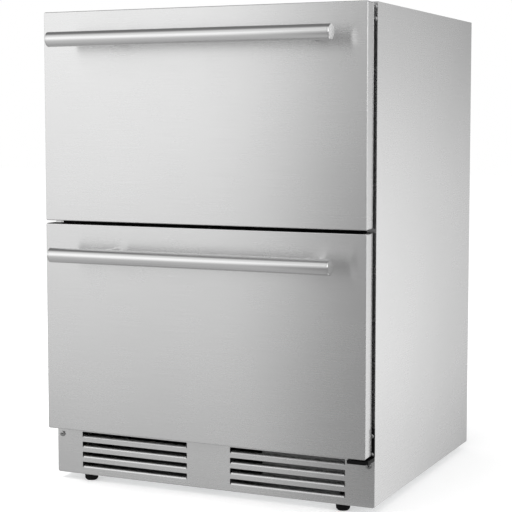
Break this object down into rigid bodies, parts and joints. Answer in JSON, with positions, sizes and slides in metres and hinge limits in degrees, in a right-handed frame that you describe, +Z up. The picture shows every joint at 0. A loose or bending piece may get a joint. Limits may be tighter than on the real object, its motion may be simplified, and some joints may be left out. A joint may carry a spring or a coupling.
{
  "type": "undercounter drawer refrigerator",
  "caption": "Undercounter refrigerator in brushed steel with full-width drawers, round bar handles, a louvred kick plate and levelling feet.",
  "frame": {"origin": "on the floor, under the middle of the whole outline with the handles", "axes": "+X to the right of a person facing the drawers, the drawer fronts face -Y, +Z up"},
  "size_m": [0.6, 0.6297, 0.825],
  "materials": {
    "brushed_steel": "brushed stainless, satin",
    "handle_steel": "satin round tube",
    "galvanised": "galvanised sheet, dull",
    "slide_steel": "zinc plated",
    "plated_screws": "zinc plated",
    "black_paint": "semi-gloss black",
    "black_plastic": "matte",
    "grey_plastic": "matte",
    "motor_grey": "satin",
    "fan_grey": "matte",
    "white_plastic": "satin white",
    "bin_plastic": "satin light grey",
    "light_lens": "frosted",
    "foam": "rigid foam",
    "rubber": "matte",
    "copper": "drawn copper",
    "aluminium_fins": "mill finish"
  },
  "bodies": {
    "cabinet": {"cabinet_wrap": "brushed_steel", "back_panel": "galvanised", "base_pan": "galvanised", "machine_deck": "galvanised", "liner": "white_plastic", "insulation": "foam", "centre_rail": "black_paint", "bottom_rail": "brushed_steel", "kick_plate": "brushed_steel", "kick_screws": "plated_screws", "corner_bracket": "black_paint", "frame_screws": "plated_screws", "compressor": "black_paint", "compressor_grommets": "rubber", "condenser": "aluminium_fins", "condenser_fan_shroud": "black_plastic", "condenser_fan_motor": "motor_grey", "filter_drier": "copper", "refrigerant_tubes": "copper", "drain_pan": "black_plastic", "control_box": "grey_plastic", "power_inlet": "black_plastic", "rear_cover": "galvanised", "rear_screws": "plated_screws", "evaporator": "aluminium_fins", "evaporator_cover": "white_plastic", "evaporator_fan_motor": "motor_grey", "light_bar": "light_lens", "control_panel": "black_plastic", "upper_cabinet_rails": "slide_steel", "lower_cabinet_rails": "slide_steel"},
    "upper_drawer": {"upper_front_skin": "brushed_steel", "upper_front_foam": "foam", "upper_inner_panel": "white_plastic", "upper_gasket": "rubber", "upper_handle_tube": "handle_steel", "upper_handle_caps": "handle_steel", "upper_handle_posts": "handle_steel", "upper_carrier": "slide_steel", "upper_bin": "bin_plastic", "upper_drawer_rails": "slide_steel"},
    "upper_middle_rail_pair": {"upper_middle_rails": "slide_steel"},
    "lower_drawer": {"lower_front_skin": "brushed_steel", "lower_front_foam": "foam", "lower_inner_panel": "white_plastic", "lower_gasket": "rubber", "lower_handle_tube": "handle_steel", "lower_handle_caps": "handle_steel", "lower_handle_posts": "handle_steel", "lower_carrier": "slide_steel", "lower_bin": "bin_plastic", "lower_drawer_rails": "slide_steel"},
    "lower_middle_rail_pair": {"lower_middle_rails": "slide_steel"},
    "condenser_fan_rotor": {"condenser_fan": "fan_grey"},
    "evaporator_fan_rotor": {"evaporator_fan": "fan_grey"},
    "front_left_leveller": {"front_left_foot": "rubber"},
    "front_right_leveller": {"front_right_foot": "rubber"},
    "rear_left_leveller": {"rear_left_foot": "rubber"},
    "rear_right_leveller": {"rear_right_foot": "rubber"}
  },
  "joints": [
    {"name": "upper_drawer_slide", "type": "slide", "parent": "cabinet", "child": "upper_drawer", "axis": [0, -1, 0], "range_m": [0, 0.4]},
    {"name": "upper_middle_rail_slide", "type": "slide", "parent": "cabinet", "child": "upper_middle_rail_pair", "axis": [0, -1, 0], "range_m": [0, 0.2]},
    {"name": "lower_drawer_slide", "type": "slide", "parent": "cabinet", "child": "lower_drawer", "axis": [0, -1, 0], "range_m": [0, 0.4]},
    {"name": "lower_middle_rail_slide", "type": "slide", "parent": "cabinet", "child": "lower_middle_rail_pair", "axis": [0, -1, 0], "range_m": [0, 0.2]},
    {"name": "condenser_fan_spin", "type": "hinge", "parent": "cabinet", "child": "condenser_fan_rotor", "pos_m": [-0.101, 0.23685, 0.112], "axis": [1, 0, 0], "continuous": true},
    {"name": "evaporator_fan_spin", "type": "hinge", "parent": "cabinet", "child": "evaporator_fan_rotor", "pos_m": [0, 0.22685, 0.62], "axis": [0, -1, 0], "continuous": true},
    {"name": "front_left_foot_adjust", "type": "slide", "parent": "cabinet", "child": "front_left_leveller", "axis": [0, 0, -1], "range_m": [0, 0.015]},
    {"name": "front_right_foot_adjust", "type": "slide", "parent": "cabinet", "child": "front_right_leveller", "axis": [0, 0, -1], "range_m": [0, 0.015]},
    {"name": "rear_left_foot_adjust", "type": "slide", "parent": "cabinet", "child": "rear_left_leveller", "axis": [0, 0, -1], "range_m": [0, 0.015]},
    {"name": "rear_right_foot_adjust", "type": "slide", "parent": "cabinet", "child": "rear_right_leveller", "axis": [0, 0, -1], "range_m": [0, 0.015]}
  ],
  "couplings": [
    {"joint": "upper_middle_rail_slide", "follows": "upper_drawer_slide", "ratio": 0.5},
    {"joint": "lower_middle_rail_slide", "follows": "lower_drawer_slide", "ratio": 0.5}
  ]
}
